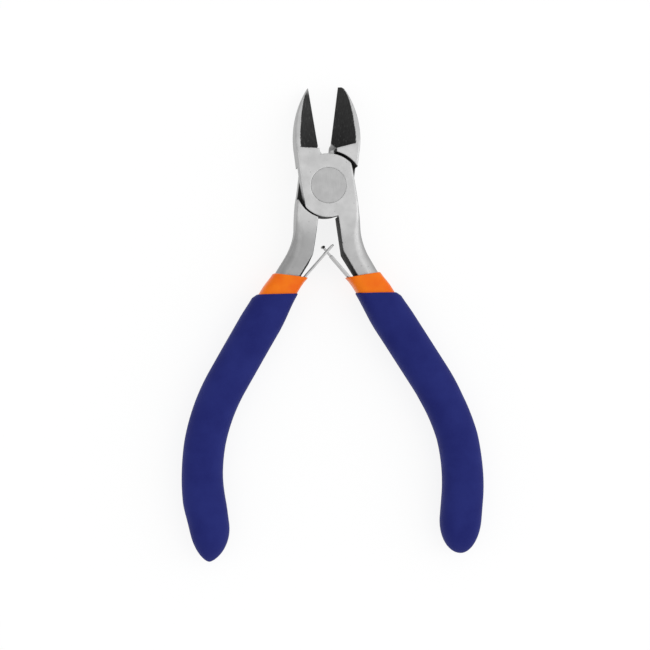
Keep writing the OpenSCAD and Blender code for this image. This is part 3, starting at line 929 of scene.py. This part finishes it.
def rivet_steel():
    """A darker satin head with fine brushing across it."""
    n = Nodes("rivet_steel_brushed")
    lay = n.coordinates(scale=(1.0, 0.05, 1.0), rotation=(0, 0, 0.62))
    brushing = n.noise(lay, 9.0, 3.0, 0.55)
    cloud = n.noise(n.coordinates(), 0.5, 2.0)
    tone = n.mix(n.range(cloud, 0.3, 0.7), grey(0.44), grey(0.5))
    tone = n.mix(n.range(brushing, 0.35, 0.7, 0, 0.3), tone, grey(0.36))
    n.link(tone, n.shader.inputs["Base Color"])
    n.set(Metallic=1.0)
    n.link(n.range(brushing, 0.2, 0.8, 0.34, 0.46), n.shader.inputs["Roughness"])
    n.bump(brushing, 0.3, 0.00001)
    return n.material


def spring_steel():
    n = Nodes("spring_steel_strip")
    rolled = n.noise(n.coordinates(scale=(0.4, 0.4, 3.0)), 2.0, 2.0)
    tone = n.mix(n.range(rolled, 0.3, 0.7), grey(0.5), grey(0.6))
    # painted shade: the strip's edges, which face neither front nor rear, are darkened
    tone = n.mix(n.range(n.upward(), 0.3, 0.8, 0.7, 0), tone, grey(0.2))
    # painted shade: the rolled head is near black
    tone = n.mix(n.attribute("rolled_head"), tone, grey(0.03))
    n.link(tone, n.shader.inputs["Base Color"])
    n.set(Metallic=1.0)
    n.link(n.range(rolled, 0.2, 0.8, 0.24, 0.36), n.shader.inputs["Roughness"])
    n.bump(rolled, 0.15, 0.00001)
    return n.material


def orange_vinyl():
    """Glossy dip, with the slow waves of a poured skin."""
    n = Nodes("orange_vinyl_dip")
    plain = n.coordinates()
    waves = n.noise(plain, 0.22, 2.0)
    fine = n.noise(plain, 3.0, 2.0)
    tone = n.mix(n.range(waves, 0.35, 0.65), (0.82, 0.132, 0.003, 1), (0.87, 0.185, 0.004, 1))
    n.link(tone, n.shader.inputs["Base Color"])
    n.link(n.range(fine, 0.3, 0.7, 0.3, 0.38), n.shader.inputs["Roughness"])
    n.set(Specular_IOR_Level=0.14)
    n.bump(n.math("ADD", waves, n.math("MULTIPLY", fine, 0.05)), 0.2, 0.0004)
    return n.material


def blue_vinyl():
    """Soft matte dip with a fine grain and a faint bloom."""
    n = Nodes("blue_vinyl_soft")
    plain = n.coordinates()
    grain = n.noise(plain, 3.2, 5.0, 0.65)
    cloud = n.noise(plain, 0.16, 3.0)
    tone = n.mix(n.range(cloud, 0.35, 0.65), (0.0085, 0.0125, 0.125, 1), (0.013, 0.019, 0.15, 1))
    tone = n.mix(n.range(grain, 0.35, 0.7, 0, 0.3), tone, (0.022, 0.03, 0.18, 1))
    n.link(tone, n.shader.inputs["Base Color"])
    n.link(n.range(grain, 0.3, 0.7, 0.6, 0.76), n.shader.inputs["Roughness"])
    n.set(Specular_IOR_Level=0.12, Sheen_Weight=0.02, Sheen_Roughness=0.4, Sheen_Tint=(0.6, 0.6, 1.0, 1.0))
    n.bump(grain, 0.35, 0.00008)
    return n.material


# ---- stage ----

CAMERA_TURN = math.radians(6.0)
CAMERA_ROLL = math.radians(1.3)
CAMERA_DISTANCE = 480.0
SENSOR_WIDTH = 36.0
MM_PER_PIXEL = 0.2426
IMAGE_WIDTH = 650
FLOOR_DROP = 0.0002


def camera():
    """Nearly square-on to the front face, a little to the left, with the rivet high in the frame."""
    back = np.array([-math.sin(CAMERA_TURN), 0, math.cos(CAMERA_TURN)])
    level_right = np.array([math.cos(CAMERA_TURN), 0, math.sin(CAMERA_TURN)])
    level_up = np.array([0.0, 1.0, 0.0])
    right = level_right * math.cos(CAMERA_ROLL) - level_up * math.sin(CAMERA_ROLL)
    up = level_up * math.cos(CAMERA_ROLL) + level_right * math.sin(CAMERA_ROLL)
    rivet_right, rivet_up = 0.9, 33.94
    position = np.array([0, 0, THICKNESS]) - rivet_right * right - rivet_up * up + CAMERA_DISTANCE * back
    data = bpy.data.cameras.new("camera")
    data.sensor_width = SENSOR_WIDTH
    data.lens = SENSOR_WIDTH * CAMERA_DISTANCE / (IMAGE_WIDTH * MM_PER_PIXEL)
    data.clip_start = 0.01
    obj = bpy.data.objects.new("camera", data)
    bpy.context.scene.collection.objects.link(obj)
    obj.matrix_world = Matrix((
        (right[0], up[0], back[0], position[0] * MM),
        (right[1], up[1], back[1], position[1] * MM),
        (right[2], up[2], back[2], position[2] * MM),
        (0, 0, 0, 1)))
    bpy.context.scene.camera = obj


def area_light(name, place, target, size, power):
    data = bpy.data.lights.new(name, "AREA")
    data.shape = "RECTANGLE"
    data.size, data.size_y = size
    data.energy = power
    obj = bpy.data.objects.new(name, data)
    bpy.context.scene.collection.objects.link(obj)
    obj.location = place
    obj.rotation_euler = (Vector(target) - Vector(place)).to_track_quat("-Z", "Y").to_euler()


def world():
    """A white studio that is a little darker low down on the left."""
    scene_world = bpy.data.worlds.new("studio")
    bpy.context.scene.world = scene_world
    scene_world.use_nodes = True
    tree = scene_world.node_tree
    background = tree.nodes["Background"]
    background.inputs["Color"].default_value = (1.0, 1.0, 1.0, 1.0)
    coord = tree.nodes.new("ShaderNodeTexCoord")
    split = tree.nodes.new("ShaderNodeSeparateXYZ")
    ramp = tree.nodes.new("ShaderNodeMapRange")
    for key, value in (("From Min", -0.9), ("From Max", 0.3), ("To Min", 0.6), ("To Max", 1.06)):
        ramp.inputs[key].default_value = value
    tree.links.new(coord.outputs["Generated"], split.inputs[0])
    tree.links.new(split.outputs["X"], ramp.inputs["Value"])
    tree.links.new(ramp.outputs[0], background.inputs["Strength"])


def floor():
    """A plain sheet that glows faintly, like a light table."""
    size = 1.2
    corners = [(-size, -size, 0), (size, -size, 0), (size, size, 0), (-size, size, 0)]
    n = Nodes("pale_floor")
    n.set(Base_Color=(0.16, 0.16, 0.16, 1), Roughness=0.9, Specular_IOR_Level=0.1)
    n.set(Emission_Color=(1.0, 1.0, 1.0, 1), Emission_Strength=0.84)
    mesh = bpy.data.meshes.new("floor")
    mesh.from_pydata(corners, [], [(0, 1, 2, 3)])
    mesh.materials.append(n.material)
    obj = bpy.data.objects.new("floor", mesh)
    bpy.context.scene.collection.objects.link(obj)
    obj.location.z = -FLOOR_DROP


# ---- assembly ----

steel = forged_steel()
rivet = rivet_steel()
spring = spring_steel()
orange = orange_vinyl()
blue = blue_vinyl()

steel_half("front_forging", True, steel)
steel_half("rear_forging", False, steel)
pivot_rivet(rivet)
for side, is_left, side_body in (("left", True, "rear"), ("right", False, "front")):
    spring_leaf(f"{side}_spring", is_left,
                [f"{side}_spring_foot", f"{side}_spring_leaf"], spring)
    spring_rivet(f"{side}_foot_rivet", is_left, side_body, f"{side}_spring_rivet", rivet)
    collar(f"{side}_sleeve", is_left, side_body, f"{side}_collar", orange)
    grip(f"{side}_handle_grip", is_left, side_body, f"{side}_grip", blue)

camera()
world()
floor()
area_light("left_strip", (-0.5, -0.03, 0.42), (0, -0.03, 0), (0.14, 0.8), 0.4)
area_light("right_strip", (0.5, -0.03, 0.42), (0, -0.03, 0), (0.14, 0.8), 0.5)
bpy.context.scene.view_settings.view_transform = "Standard"
